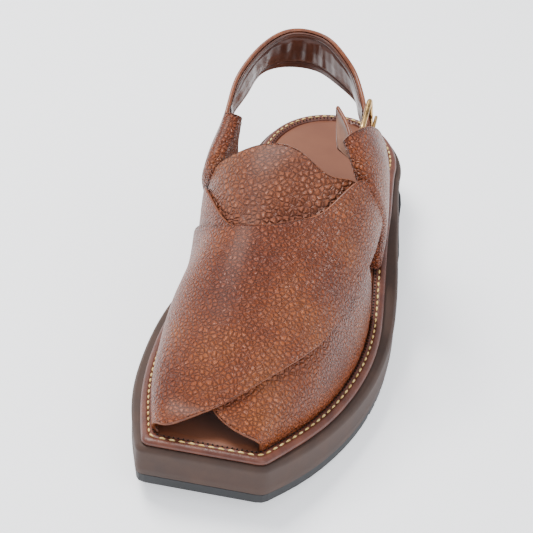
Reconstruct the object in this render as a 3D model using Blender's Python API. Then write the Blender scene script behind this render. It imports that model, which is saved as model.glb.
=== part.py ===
"""Peshawari chappal for the left foot, at its real size.

The shoe stands on the ground plane with its toe towards -Y, its lateral side
towards +X and its heel towards +Y.  The sole is built in layers.  The upper
is two crossed leather panels over a tongue, held at the sides by two folded
quarters; the medial quarter runs on as the heel strap to a buckle on the
lateral quarter.
"""
import math

import bpy
import bmesh
import numpy as np
from mathutils import Matrix

# Driving sizes in metres
SOLE_LENGTH = 0.2845
BALL_WIDTH = 0.110
INSTEP_HEIGHT = 0.107

# Sole stack
OUTSOLE_THICKNESS = 0.0053
MIDSOLE_THICKNESS = 0.0162
RIM_THICKNESS = 0.0035
INSOLE_THICKNESS = 0.0026
TOE_SPRING = 0.0085
BREAST_HEIGHT = 0.0105
HEEL_HEIGHT = 0.0135
HEEL_PROUD = 0.0022
MIDSOLE_BEVEL = 0.0016
HEEL_TAPER = 0.0008
OUTSOLE_INSET = 0.0004
TREAD_PITCH = 0.0095
TREAD_GROOVE = 0.0028
TREAD_DEPTH = 0.0018

# Places along the sole, shares of its length from the middle, toe negative
FLAT_START = -0.246
FLAT_END = -0.077
BREAST_PLACE = 0.20
HEEL_BACK = 0.511
RIM_BACK = 0.503
TOE_PLACE = -0.4900
RIM_SETBACK = 0.0014
TOE_SLOPE = 0.085
HEEL_FULLNESS_MEDIAL = 2.15
HEEL_FULLNESS_LATERAL = 1.90
TOE_CORNER = 0.003

# Leather
LEATHER = 0.0020
TONGUE_LEATHER = 0.0018
CLEARANCE = 0.0003
TONGUE_GAP = 0.0006
SEAM_BITE = 0.0003
PANEL_BITE = 0.0007
RIM_WIDTH = 0.0060
LIFT_END = 0.12

# Bands and buckle
UNDER_WING = 0.0024
FOLD_SHARE = 0.3
INNER_MARGIN = 0.015
FLAP_PLACE = 3
FLAP_COLUMNS = (5, 6, 8)
FLAP_STEPS = 4
STRAP_LINING = ((0, 4, 7, 13, 15), (0, 0, 0.0020, 0.0020, 0))
BUCKLE_CENTRE = np.array((0.261, 0.1156, 0.890))
BUCKLE_BACK = np.array((-0.04, 0.97, 0.24))
BUCKLE_UP = np.array((-0.05, -0.24, 0.97))
BUCKLE_LENGTH = 0.0215
BUCKLE_WIDTH = 0.0250
BUCKLE_ROD = 0.0013
BUCKLE_CORNER = 0.0025
PRONG_ROD = 0.0011
PRONG_OVERHANG = 0.0015
PRONG_ROOM = 0.0005

# Mesh density
SOLE_COLUMNS = 5
SOLE_ROWS_COUNT = 34
HEEL_ROW = 0.022
BAND_STEPS = 3
BAND_SHARES = np.array((0.0, 0.06, 0.13, 0.21, 0.32, 0.48, 0.65, 0.82, 1.0))
ROD_REFERENCE = np.array((0.93, 0.11, 0.35))

# along, outer medial, outer lateral, rim medial, rim lateral;
# along is a share of the sole's length, the rest shares of the ball width
SOLE_ROWS = np.array((
    (-0.560, -0.173, 0.153, -0.161, 0.141),
    (-0.500, -0.245, 0.226, -0.222, 0.216),
    (-0.430, -0.327, 0.337, -0.292, 0.310),
    (-0.350, -0.398, 0.436, -0.357, 0.407),
    (-0.280, -0.433, 0.497, -0.392, 0.464),
    (-0.210, -0.449, 0.537, -0.408, 0.499),
    (-0.140, -0.448, 0.553, -0.406, 0.510),
    (-0.070, -0.427, 0.549, -0.386, 0.497),
    (0.000, -0.398, 0.528, -0.357, 0.469),
    (0.070, -0.377, 0.496, -0.337, 0.438),
    (0.140, -0.369, 0.458, -0.331, 0.408),
    (0.210, -0.369, 0.426, -0.333, 0.386),
    (0.280, -0.380, 0.390, -0.345, 0.358),
    (0.335, -0.389, 0.366, -0.358, 0.338),
))

# along, then x and z of the medial shoulder, the crest and the lateral
# shoulder of the last; x is a share of the ball width, z of the instep height
LAST_ROWS = np.array((
    (-0.492, -0.136, 0.346, 0.009, 0.360, 0.155, 0.346),
    (-0.432, -0.173, 0.357, 0.009, 0.380, 0.191, 0.362),
    (-0.369, -0.218, 0.420, 0.009, 0.502, 0.264, 0.412),
    (-0.299, -0.245, 0.486, 0.000, 0.617, 0.310, 0.467),
    (-0.228, -0.255, 0.561, -0.009, 0.720, 0.310, 0.542),
    (-0.158, -0.247, 0.636, -0.018, 0.813, 0.310, 0.626),
    (-0.056, -0.310, 0.785, -0.018, 0.981, 0.327, 0.822),
    (0.035, -0.336, 0.841, -0.009, 1.065, 0.327, 0.897),
    (0.141, -0.341, 0.860, 0.000, 1.200, 0.280, 0.830),
    (0.211, -0.336, 0.870, 0.000, 1.290, 0.267, 0.810),
))

# Panels of the upper: place across the last, then the front and rear edges
# there as shares of the sole's length
OVER_PANEL = np.array((
    (0.00, -0.460, -0.055),
    (0.12, -0.459, -0.085),
    (0.24, -0.473, -0.125),
    (0.37, -0.460, -0.166),
    (0.46, -0.438, -0.171),
    (0.53, -0.419, -0.163),
    (0.60, -0.392, -0.138),
    (0.66, -0.355, -0.105),
    (0.72, -0.300, -0.040),
    (0.78, -0.232, -0.028),
    (0.83, -0.145, -0.018),
    (0.86, -0.050, -0.010),
))
UNDER_PANEL = np.array((
    (0.14, -0.062, -0.012),
    (0.20, -0.130, -0.028),
    (0.25, -0.195, -0.045),
    (0.30, -0.270, -0.108),
    (0.36, -0.345, -0.142),
    (0.43, -0.400, -0.166),
    (0.50, -0.429, -0.160),
    (0.64, -0.453, -0.125),
    (0.76, -0.457, -0.100),
    (0.90, -0.451, -0.075),
    (1.00, -0.450, -0.060),
))
TONGUE_PANEL = np.array((
    (0.20, -0.200, -0.035),
    (0.28, -0.220, -0.040),
    (0.36, -0.235, -0.044),
    (0.42, -0.235, -0.038),
    (0.48, -0.235, -0.034),
    (0.53, -0.235, -0.039),
    (0.59, -0.235, -0.054),
    (0.65, -0.225, -0.060),
    (0.70, -0.200, -0.046),
    (0.74, -0.180, -0.034),
))

# Quarters on the last: place across and along of the front and rear edges
MEDIAL_ROWS = np.array((
    (0.009, 0.050, 0.009, 0.135),
    (0.080, 0.025, 0.060, 0.115),
    (0.150, 0.000, 0.110, 0.098),
    (0.250, -0.026, 0.150, 0.100),
    (0.285, 0.030, 0.190, 0.128),
))
LATERAL_ROWS = np.array((
    (0.991, 0.055, 0.991, 0.225),
    (0.930, 0.035, 0.945, 0.212),
    (0.860, 0.005, 0.895, 0.200),
    (0.760, -0.022, 0.845, 0.185),
    (0.660, 0.022, 0.770, 0.155),
))
# The lateral quarter's inner half, cut shorter behind
LATERAL_INNER_ROWS = np.array((
    (0.991, 0.055, 0.991, 0.225),
    (0.930, 0.035, 0.945, 0.205),
    (0.860, 0.005, 0.880, 0.170),
    (0.760, -0.022, 0.800, 0.058),
    (0.670, 0.022, 0.690, 0.047),
))
# Heel strap and buckle flap: x, y and z of the two edges of a row, as shares
# of the ball width, the sole's length and the instep height
STRAP_ROWS = np.array((
    (-0.336, 0.098, 1.000, -0.378, 0.172, 0.800),
    (-0.327, 0.141, 1.056, -0.352, 0.208, 0.845),
    (-0.282, 0.195, 1.110, -0.323, 0.243, 0.897),
    (-0.191, 0.244, 1.148, -0.223, 0.272, 0.921),
    (-0.073, 0.259, 1.140, -0.082, 0.279, 0.921),
    (0.014, 0.248, 1.116, 0.018, 0.271, 0.893),
    (0.088, 0.232, 1.064, 0.116, 0.263, 0.840),
    (0.141, 0.213, 1.020, 0.175, 0.250, 0.794),
    (0.193, 0.174, 0.984, 0.214, 0.200, 0.790),
    (0.219, 0.146, 0.975, 0.225, 0.162, 0.819),
    (0.284, 0.079, 0.945, 0.289, 0.094, 0.785),
))
FLAP_END = np.array((
    (0.160, 0.080, 0.840),
    (0.145, 0.099, 0.885),
    (0.131, 0.120, 0.944),
    (0.131, 0.114, 1.005),
))


def spline(knots, values, places):
    """Natural cubic through the rows of values at the knots, read at places."""
    knots = np.asarray(knots, float)
    values = np.asarray(values, float)
    step = np.diff(knots)
    count = len(knots)
    system = np.eye(count)
    right = np.zeros_like(values)
    for i in range(1, count - 1):
        system[i, i - 1:i + 2] = step[i - 1], 2 * (step[i - 1] + step[i]), step[i]
        rise = (values[i + 1] - values[i]) / step[i]
        right[i] = 3 * (rise - (values[i] - values[i - 1]) / step[i - 1])
    bend = np.linalg.solve(system, right)
    places = np.asarray(places, float)
    seg = np.clip(np.searchsorted(knots, places) - 1, 0, count - 2)
    wide = (...,) + (None,) * (values.ndim - 1)
    h = step[seg][wide]
    t = (places - knots[seg])[wide]
    slope = (values[seg + 1] - values[seg]) / h - h * (2 * bend[seg] + bend[seg + 1]) / 3
    return values[seg] + slope * t + bend[seg] * t**2 + (bend[seg + 1] - bend[seg]) / (3 * h) * t**3


def smooth_step(t):
    """Rise from 0 to 1 with level ends."""
    t = np.clip(t, 0.0, 1.0)
    return t * t * (3 - 2 * t)


def underside(y):
    """Height of the sole's underside: toe spring, flat ball, arch and heel."""
    share = np.asarray(y, float) / SOLE_LENGTH
    toe = np.clip((FLAT_START - share) / (FLAT_START - TOE_PLACE), 0.0, None)
    arch = smooth_step((share - FLAT_END) / (BREAST_PLACE - FLAT_END))
    back = np.clip((share - BREAST_PLACE) / (HEEL_BACK - BREAST_PLACE), 0.0, 1.0)
    return TOE_SPRING * toe**1.7 + BREAST_HEIGHT * arch + (HEEL_HEIGHT - BREAST_HEIGHT) * back


def midsole_top(y):
    """Height of the midsole's upper face."""
    return underside(y) + OUTSOLE_THICKNESS + MIDSOLE_THICKNESS


def edge_run(medial, lateral, back):
    """Edge of a sole layer in plan, from before the lateral toe corner round
    the heel to before the medial one: splined sides and a superellipse heel."""
    along = SOLE_ROWS[:, 0] * SOLE_LENGTH
    y = np.linspace(along[0], along[-1], 120)
    east = spline(along, SOLE_ROWS[:, lateral] * BALL_WIDTH, y)
    west = spline(along, SOLE_ROWS[:, medial] * BALL_WIDTH, y)
    turn = np.linspace(0.0, math.pi, 90)[1:-1]
    middle = (east[-1] + west[-1]) / 2
    half = (east[-1] - west[-1]) / 2
    power = 2 / np.where(np.cos(turn) > 0, HEEL_FULLNESS_LATERAL, HEEL_FULLNESS_MEDIAL)
    heel_x = middle + half * np.sign(np.cos(turn)) * np.abs(np.cos(turn))**power
    heel_y = y[-1] + (back * SOLE_LENGTH - y[-1]) * np.sin(turn)**power
    run = np.vstack((np.column_stack((east, y)), np.column_stack((heel_x, heel_y)),
                     np.column_stack((west[::-1], y[::-1]))))
    for _ in range(3):
        run[1:-1] = (run[:-2] + 2 * run[1:-1] + run[2:]) / 4
    return run


def inset_run(run, inset, taper=0.0):
    """The run moved inwards along its normals, with a taper added at the heel."""
    inset = inset + taper * smooth_step(run[:, 1:] / (0.3 * SOLE_LENGTH))
    way = np.gradient(run, axis=0)
    way /= np.linalg.norm(way, axis=1)[:, None]
    return run + inset * np.column_stack((-way[:, 1], way[:, 0]))


def plan(layer, inset=0.0, front_inset=None, taper=0.0):
    """Edge of the outer or rim layer, inset and cut off at the straight toe."""
    medial, lateral, back = (1, 2, HEEL_BACK) if layer == "outer" else (3, 4, RIM_BACK)
    front = TOE_PLACE * SOLE_LENGTH + (0.0 if layer == "outer" else RIM_SETBACK)
    front += (inset if front_inset is None else front_inset) * math.hypot(1, TOE_SLOPE)
    run = inset_run(edge_run(medial, lateral, back), inset, taper)
    over = front + TOE_SLOPE * run[:, 0] - run[:, 1]
    kept = np.flatnonzero(over <= 0)
    ends = []
    for inner, outer in ((kept[0], kept[0] - 1), (kept[-1], kept[-1] + 1)):
        share = over[outer] / (over[outer] - over[inner])
        ends.append(run[outer] + (run[inner] - run[outer]) * share)
    return np.vstack((ends[0], run[kept[0]:kept[-1] + 1], ends[1]))


def foot_line(y, side):
    """X of the upper's inner face at the footbed on one side."""
    path = FOOT_PATH
    middle = len(path) // 2
    part = path[middle:][::-1] if side == "medial" else path[:middle]
    return np.interp(y, part[:, 1], part[:, 0])


FOOT_PATH = plan("rim", RIM_WIDTH + CLEARANCE + LEATHER)


def last_point(across, along):
    """Point on the last: a natural cubic across from the medial foot (0) over
    the crest (0.5) to the lateral foot (1), splined along the shoe."""
    across, along = np.broadcast_arrays(across, along)
    rows = spline(LAST_ROWS[:, 0], LAST_ROWS[:, 1:], along.ravel() / SOLE_LENGTH)
    y = along.ravel()
    foot = midsole_top(y) + INSOLE_THICKNESS + 2 * CLEARANCE
    knots = np.array((foot_line(y, "medial"), *(rows[:, 0:5:2].T * BALL_WIDTH), foot_line(y, "lateral")))
    rises = np.array((foot, *(rows[:, 1:6:2].T * INSTEP_HEIGHT), foot))
    weights = spline(np.linspace(0, 1, 5), np.eye(5), across.ravel())
    x = (weights.T * knots).sum(0)
    z = (weights.T * rises).sum(0)
    return np.stack((x, y, z), -1).reshape(across.shape + (3,))


def last_skin(across, along, lift):
    """The last's skin moved outwards by lift."""
    across, along = np.broadcast_arrays(np.asarray(across, float), np.asarray(along, float))
    here = last_point(across, along)
    step = 1e-4
    dx = last_point(across + step, along) - last_point(across - step, along)
    dy = last_point(across, along + step) - last_point(across, along - step)
    out = np.cross(dx, dy)
    out /= np.linalg.norm(out, axis=-1)[..., None]
    return here + out * np.asarray(lift)[..., None]


def ladder(path):
    """Grid of plan places inside an edge.  Rows run from the toe to the heel,
    columns from medial to lateral; the toe corners are rounded off."""
    gaps = np.linalg.norm(np.diff(path, axis=0), axis=1)
    walked = np.concatenate(((0.0,), np.cumsum(gaps)))
    total = walked[-1]

    def at(distance):
        return np.column_stack([np.interp(distance, walked, path[:, k]) for k in (0, 1)])

    columns = np.linspace(0.0, 1.0, SOLE_COLUMNS)[:, None]
    lateral, medial = path[0], path[-1]
    front = (lateral - medial) / np.linalg.norm(lateral - medial)
    first = (medial + front * TOE_CORNER, lateral - front * TOE_CORNER)
    sides = np.linspace(TOE_CORNER, total * (0.5 - HEEL_ROW), SOLE_ROWS_COUNT)
    east, west = at(sides), at(total - sides)
    rows = [first[0] + (first[1] - first[0]) * columns]
    rounded = ((first[0] + 2 * medial + west[0]) / 4, (first[1] + 2 * lateral + east[0]) / 4)
    rows.append(rounded[0] + (rounded[1] - rounded[0]) * columns)
    rows += [w + (e - w) * columns for w, e in zip(west[:-1], east[:-1])]
    rows.append(at(total * (0.5 + HEEL_ROW * (1 - 2 * columns[:, 0]))))
    return np.array(rows)


def border(rows, columns):
    """Indices round the rim of a grid, medial toe corner first."""
    index = np.arange(rows * columns).reshape(rows, columns)
    return np.concatenate((index[0], index[1:-1, -1], index[-1, ::-1], index[-2:0:-1, 0]))


def grid_faces(rows, columns, start=0):
    """Quads of a grid of vertices."""
    index = np.arange(rows * columns).reshape(rows, columns) + start
    corners = (index[:-1, :-1], index[1:, :-1], index[1:, 1:], index[:-1, 1:])
    return np.stack([corner.ravel() for corner in corners], 1).tolist()


def ring_faces(first, second):
    """Quads between two closed loops of vertex indices."""
    return np.stack((first, np.roll(first, -1), np.roll(second, -1), second), 1).tolist()


def finish(name, vertices, faces, material, sharp=40):
    """Make one closed object with its faces pointing out."""
    mesh = bpy.data.meshes.new(name)
    mesh.from_pydata(np.asarray(vertices).tolist(), [], faces)
    shape = bmesh.new()
    shape.from_mesh(mesh)
    bmesh.ops.remove_doubles(shape, verts=shape.verts, dist=1e-6)
    bmesh.ops.recalc_face_normals(shape, faces=shape.faces)
    shape.to_mesh(mesh)
    shape.free()
    mesh.shade_smooth()
    mesh.set_sharp_from_angle(angle=math.radians(sharp))
    mesh.materials.append(material)
    thing = bpy.data.objects.new(name, mesh)
    bpy.context.collection.objects.link(thing)
    return thing


def layer(name, levels, material):
    """Solid sheet of the sole from its levels, bottom first.  A level is a
    plan grid and its heights; the first and last are closed over."""
    vertices, faces, loops = [], [], []
    for number, (grid, height) in enumerate(levels):
        rows, columns = grid.shape[:2]
        points = np.dstack((grid, height)).reshape(-1, 3)
        rim = border(rows, columns)
        start = sum(len(part) for part in vertices)
        if number in (0, len(levels) - 1):
            faces += grid_faces(rows, columns, start)
            loops.append(rim + start)
            vertices.append(points)
        else:
            loops.append(np.arange(len(rim)) + start)
            vertices.append(points[rim])
    for first, second in zip(loops[:-1], loops[1:]):
        faces += ring_faces(first, second)
    return finish(name, np.vstack(vertices), faces, material)


def sheet(name, inner, outer, material):
    """Solid between two grids of points with the same rows and columns."""
    rows, columns = inner.shape[:2]
    count = rows * columns
    rim = border(rows, columns)
    faces = grid_faces(rows, columns) + grid_faces(rows, columns, count)
    faces += ring_faces(rim, rim + count)
    return finish(name, np.vstack((inner.reshape(-1, 3), outer.reshape(-1, 3))), faces, material)


def boolean(thing, other, operation):
    """Apply a boolean to an object and remove the other one."""
    step = thing.modifiers.new(operation.lower(), "BOOLEAN")
    step.operation = operation
    step.object = other
    step.solver = "EXACT"
    graph = bpy.context.evaluated_depsgraph_get()
    mesh = bpy.data.meshes.new_from_object(thing.evaluated_get(graph))
    thing.modifiers.clear()
    mesh.name = thing.name
    thing.data = mesh
    bpy.data.objects.remove(other)


def paint(name, colour, roughness, metallic=0.0):
    """Plain surface for one kind of piece."""
    material = bpy.data.materials.new(name)
    material.use_nodes = True
    shader = material.node_tree.nodes["Principled BSDF"]
    shader.inputs["Base Color"].default_value = (*colour, 1.0)
    shader.inputs["Roughness"].default_value = roughness
    shader.inputs["Metallic"].default_value = metallic
    return material


def at_height(path, height, offset=0.0):
    """A ladder inside a path with its heights from a function of Y."""
    grid = ladder(path)
    return grid, height(grid[..., 1]) + offset


def sole_pieces(rubber, foam, rim_leather, sock):
    """Outsole, heel block, midsole, rim and insole."""
    tread = underside
    top = OUTSOLE_THICKNESS
    outsole = layer("outsole", (
        at_height(plan("outer", OUTSOLE_INSET + TREAD_DEPTH / 2), tread),
        at_height(plan("outer", OUTSOLE_INSET), tread, TREAD_DEPTH / 2),
        at_height(plan("outer", OUTSOLE_INSET), tread, top),
    ), rubber)
    cut_tread(outsole)
    heel_block(rubber)
    low, high = CLEARANCE + top, top + MIDSOLE_THICKNESS
    layer("midsole", (
        at_height(plan("outer"), underside, low),
        at_height(plan("outer"), underside, high - MIDSOLE_BEVEL),
        at_height(plan("outer", MIDSOLE_BEVEL, taper=HEEL_TAPER), underside, high),
    ), foam)
    rim_ring(rim_leather)
    seat = RIM_WIDTH + CLEARANCE
    layer("insole", (
        at_height(plan("rim", seat), midsole_top, CLEARANCE),
        at_height(plan("rim", seat), midsole_top, INSOLE_THICKNESS),
    ), sock)


def rim_ring(material):
    """Leather-wrapped rim: a flat ring with a rounded outer edge."""
    profile = (
        (RIM_WIDTH, CLEARANCE), (0.0008, CLEARANCE), (0.0, 0.0012), (0.0, 0.0022),
        (0.0009, 0.0032), (0.0024, RIM_THICKNESS), (RIM_WIDTH, RIM_THICKNESS),
    )
    loops, points, faces = [], [], []
    for inset, height in profile:
        grid, level = at_height(plan("rim", inset), midsole_top, height)
        rim = border(*grid.shape[:2])
        loops.append(np.arange(len(rim)) + len(rim) * len(loops))
        points.append(np.dstack((grid, level)).reshape(-1, 3)[rim])
    for first, second in zip(loops, loops[1:] + loops[:1]):
        faces += ring_faces(first, second)
    finish("rim", np.vstack(points), faces, material)


def heel_block(material):
    """Solid heel under the outsole, flat on the ground, a little proud."""
    path = plan("outer", -HEEL_PROUD)
    grid = ladder(path)
    breast = BREAST_PLACE * SOLE_LENGTH
    rows = [row for row in grid if row[:, 1].mean() > breast + 0.004]
    share = (breast - grid[:, :, 1].mean(1))
    before = np.flatnonzero(share > 0)[-1]
    first = grid[before] + (grid[before + 1] - grid[before]) * (
        (breast - grid[before, :, 1]) / (grid[before + 1, :, 1] - grid[before, :, 1]))[:, None]
    grid = np.array([first] + rows)
    level = np.zeros(grid.shape[:2])
    layer("heel_block", ((grid, level), (grid, underside(grid[..., 1]) - CLEARANCE)), material)


def cut_tread(outsole):
    """Cross grooves of the forefoot, cut up into the outsole's edge and sole."""
    start = FLAT_START * SOLE_LENGTH
    end = FLAT_END * SOLE_LENGTH
    count = int((end - start) / TREAD_PITCH)
    for number in range(1, count):
        y = start + (end - start) * number / count
        bpy.ops.mesh.primitive_cube_add(size=1, location=(0, y, 0))
        cutter = bpy.context.object
        cutter.scale = (BALL_WIDTH * 1.4, TREAD_GROOVE, 2 * TREAD_DEPTH)
        boolean(outsole, cutter, "DIFFERENCE")


def panel(name, table, lift, material, density=(25, 15)):
    """Leather panel lying on the last.  The table's rows hold the place across
    and the front and rear edges there; lift gives the inner face's height."""
    across = np.linspace(table[0, 0], table[-1, 0], density[0])
    edges = spline_along(table, across)
    share = np.linspace(0.0, 1.0, density[1])
    along = (edges[:, :1] + (edges[:, 1:] - edges[:, :1]) * share) * SOLE_LENGTH
    across = np.repeat(across[:, None], density[1], 1)
    base = lift(across)
    thick = TONGUE_LEATHER if name == "tongue" else LEATHER
    return sheet(name, last_skin(across, along, base), last_skin(across, along, base + thick), material)


def spline_along(table, across):
    """Front and rear edges read from a panel's table at places across."""
    order = np.argsort(table[:, 0])
    return spline(table[order, 0], table[order, 1:], across)


def upper_pieces(grain):
    """Crossed panels joined into one upper, and the tongue beneath them."""
    def over(across):
        return (LEATHER - PANEL_BITE) * smooth_step(across / LIFT_END)

    def under(across):
        return np.zeros_like(across)

    def beneath(across):
        return np.full_like(across, -TONGUE_GAP - TONGUE_LEATHER)

    upper = panel("upper", UNDER_PANEL, under, grain)
    boolean(upper, panel("over_panel", OVER_PANEL, over, grain), "UNION")
    panel("tongue", TONGUE_PANEL, beneath, grain, (22, 12))


def held_on_last(rows, places, share):
    """Places across and along the last of a quarter's grid."""
    held = spline(np.arange(len(rows)), rows, places)
    across = held[:, :1] + (held[:, 2:3] - held[:, :1]) * share
    along = held[:, 1:2] + (held[:, 3:4] - held[:, 1:2]) * share
    return across, along * SOLE_LENGTH


def outer_half(last_rows, free_rows, lift, side, curl=((0, 1), (0, 0))):
    """Grid of a quarter's outer half, its outward normals and each row's place.

    Rows on the last hold (across, along) of the band's two edges; free rows
    hold the two edges' x, y and z.  The grid lies lift above the last and
    leaves it smoothly where the free rows begin.  Curl lists, along the rows,
    how deep the front edge rolls inwards."""
    count = len(last_rows)
    total = count + len(free_rows) - 1
    places = np.linspace(0.0, total, total * BAND_STEPS + 1)
    across, along = held_on_last(last_rows, np.clip(places, 0, count - 1), BAND_SHARES)
    roll = 1 - smooth_step(BAND_SHARES / FOLD_SHARE)
    grid = last_skin(across, along, lift - np.interp(places, *curl)[:, None] * roll)
    if len(free_rows):
        scale = np.array((BALL_WIDTH, SOLE_LENGTH, INSTEP_HEIGHT))
        start, end = free_rows[:, None, :3] * scale, free_rows[:, None, 3:] * scale
        free = start + (end - start) * BAND_SHARES[:, None]
        nodes = np.vstack((grid[:count * BAND_STEPS:BAND_STEPS], free)).reshape(total + 1, -1)
        smooth = spline(np.arange(total + 1), nodes, places).reshape(grid.shape)
        blend = smooth_step((places - (count - 2.5)) / 1.5)[:, None, None]
        grid = grid * (1 - blend) + smooth * blend
    out = np.cross(np.gradient(grid, axis=0), np.gradient(grid, axis=1)) * side
    out /= np.linalg.norm(out, axis=-1)[..., None]
    return grid, out, places


def inner_half(rows, near, far, seams, material):
    """Inner half of a folded quarter and its outward face.

    Far lists the lift along the rows; seams give how far the half has risen
    to near, the outer half's skin, at its rear edge and at the front fold."""
    places = np.linspace(0.0, len(rows) - 1, (len(rows) - 1) * BAND_STEPS + 1)
    across, along = held_on_last(rows, places, INNER_MARGIN + (1 - 2 * INNER_MARGIN) * BAND_SHARES)
    behind, ahead = [np.interp(places, *seam)[:, None] for seam in seams]
    rise = np.maximum(behind * smooth_step((BAND_SHARES - 0.45) / 0.4),
                      ahead * (1 - smooth_step(BAND_SHARES / FOLD_SHARE)))
    low = np.interp(places, *far)[:, None]
    lift = low + (near - low) * rise
    face = last_skin(across, along, lift)
    return sheet("inner_half", last_skin(across, along, lift - LEATHER), face, material), face


def medial_quarter(material):
    """Folded medial quarter that runs on as the lined heel strap."""
    gap = LEATHER + CLEARANCE
    grid, out, places = outer_half(MEDIAL_ROWS, STRAP_ROWS, gap, 1)
    lining = np.interp(places, *STRAP_LINING)[:, None, None]
    strap = sheet("back_strap", grid - out * lining, grid + out * LEATHER, material)
    near = gap + SEAM_BITE
    far = ((0, 3.2, 4), (-UNDER_WING, -UNDER_WING, near))
    seams = (((0, 4), (1, 1)), ((2.6, 3.5), (0, 1)))
    boolean(strap, inner_half(MEDIAL_ROWS, near, far, seams, material)[0], "UNION")
    return strap


def lateral_quarter(material):
    """Folded lateral quarter whose inner half carries the flap of the buckle."""
    gap = 2 * LEATHER - PANEL_BITE + CLEARANCE
    far = ((0, 2, 3, 4), (-UNDER_WING, -UNDER_WING, -0.0055, -0.0085))
    depth = gap + SEAM_BITE - np.interp((2.8, 3.5, 4), *far)
    grid, out, places = outer_half(LATERAL_ROWS, (), gap, -1, ((2.8, 3.5, 4), depth * (0, 1, 1)))
    band = sheet("buckle_strap", grid, grid + out * LEATHER, material)
    seams = (((0, 1.2, 2.4), (1, 1, 0)), ((0, 4), (0, 0)))
    inner, face = inner_half(LATERAL_INNER_ROWS, gap + SEAM_BITE, far, seams, material)
    boolean(band, inner, "UNION")
    base = face[FLAP_PLACE * BAND_STEPS:, FLAP_COLUMNS]
    count = len(base)
    tips = spline(np.linspace(0, 1, 4), FLAP_END * (BALL_WIDTH, SOLE_LENGTH, INSTEP_HEIGHT),
                  np.linspace(0, 1, count))
    share = np.linspace(0, 1, FLAP_STEPS + 1)[1:, None]
    flap = np.concatenate((base, base[:, -1:] + (tips[:, None] - base[:, -1:]) * share), 1)
    out = np.cross(np.gradient(flap, axis=1), np.gradient(flap, axis=0))
    out /= np.linalg.norm(out, axis=-1)[..., None]
    boolean(band, sheet("flap", flap - out * SEAM_BITE, flap + out * LEATHER, material), "UNION")
    return band


def rod(name, points, radius, material, closed=False, sides=10):
    """Round rod along a path of points."""
    path = np.asarray(points, float)
    way = (np.roll(path, -1, 0) - np.roll(path, 1, 0)) if closed else np.gradient(path, axis=0)
    way /= np.linalg.norm(way, axis=1)[:, None]
    flat = np.cross(way, ROD_REFERENCE)
    flat /= np.linalg.norm(flat, axis=1)[:, None]
    other = np.cross(way, flat)
    turn = np.linspace(0, 2 * math.pi, sides, endpoint=False)[None, :, None]
    tube = path[:, None] + radius * (np.cos(turn) * flat[:, None] + np.sin(turn) * other[:, None])
    loops = [np.arange(sides) + sides * number for number in range(len(path))]
    faces = []
    for first, second in zip(loops[:-1], loops[1:]):
        faces += ring_faces(first, second)
    if closed:
        faces += ring_faces(loops[-1], loops[0])
    else:
        faces += [loops[0].tolist(), loops[-1].tolist()]
    return finish(name, tube.reshape(-1, 3), faces, material)


def buckle(strap, brass):
    """Rectangular frame of round rod; its prong turns on the front bar, comes
    out through the strap and rests on the rear bar."""
    centre = BUCKLE_CENTRE * (BALL_WIDTH, SOLE_LENGTH, INSTEP_HEIGHT)
    back = BUCKLE_BACK / np.linalg.norm(BUCKLE_BACK)
    up = BUCKLE_UP - back * (BUCKLE_UP @ back)
    up /= np.linalg.norm(up)
    out = np.cross(back, up)
    half_long = BUCKLE_LENGTH / 2
    half_tall = BUCKLE_WIDTH / 2
    points = []
    for east, north, begin in ((1, 1, 0), (-1, 1, 90), (-1, -1, 180), (1, -1, 270)):
        for degrees in (0, 30, 60, 90):
            angle = math.radians(begin + degrees)
            a = east * (half_long - BUCKLE_CORNER) + BUCKLE_CORNER * math.cos(angle)
            b = north * (half_tall - BUCKLE_CORNER) + BUCKLE_CORNER * math.sin(angle)
            points.append(centre + back * a + up * b)
    rod("buckle_frame", points, BUCKLE_ROD, brass, closed=True)
    reach = BUCKLE_ROD + CLEARANCE + PRONG_ROD
    hinge = centre - back * half_long
    turn = np.radians(np.linspace(240, 90, 7))
    hook = [hinge + reach * (math.cos(a) * back + math.sin(a) * out) for a in turn]
    tip = centre + back * (half_long + PRONG_OVERHANG) + out * reach
    path = hook + [hinge + back * 0.005 + out * reach, centre + out * reach, tip]
    across = up * (PRONG_ROD + PRONG_ROOM)
    ends = np.array((hinge - back * (reach + PRONG_ROD + PRONG_ROOM), centre))
    slot = np.stack((ends - across, ends + across))
    depth = out * (reach + 2 * LEATHER)
    boolean(strap, sheet("slot", slot - depth, slot + depth, brass), "DIFFERENCE")
    rod("buckle_prong", path, PRONG_ROD, brass)


def main():
    """Build the shoe with its box's middle over the origin."""
    for thing in list(bpy.data.objects):
        bpy.data.objects.remove(thing)
    grain = paint("grain leather", (0.24, 0.085, 0.035), 0.5)
    smooth = paint("smooth leather", (0.28, 0.12, 0.07), 0.45)
    rim_leather = paint("rim leather", (0.13, 0.05, 0.03), 0.45)
    rubber = paint("black rubber", (0.025, 0.027, 0.03), 0.7)
    foam = paint("brown rubber", (0.10, 0.065, 0.05), 0.65)
    brass = paint("antique brass", (0.55, 0.38, 0.16), 0.3, 1.0)
    sole_pieces(rubber, foam, rim_leather, smooth)
    upper_pieces(grain)
    strap = medial_quarter(grain)
    lateral_quarter(grain)
    buckle(strap, brass)
    places = np.array([vertex.co for thing in bpy.data.objects for vertex in thing.data.vertices])
    shift = (places.min(0) + places.max(0)) / 2
    for thing in bpy.data.objects:
        thing.data.transform(Matrix.Translation((-shift[0], -shift[1], 0.0)))


if __name__ == "__main__":
    main()
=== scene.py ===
"""Peshawari chappal for the left foot: leather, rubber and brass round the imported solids.

The shoe's forms are worked out from the same last as its solids: a surface with
a place across (0 medial foot, 0.5 crest, 1 lateral foot) and a place along.
Panels, quarters and straps are patches of it, lifted along its normal.
"""

import logging
import math
from dataclasses import dataclass, field
from enum import Enum
from typing import Callable, Sequence

import bpy
import numpy as np
from mathutils import Matrix, Vector


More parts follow.
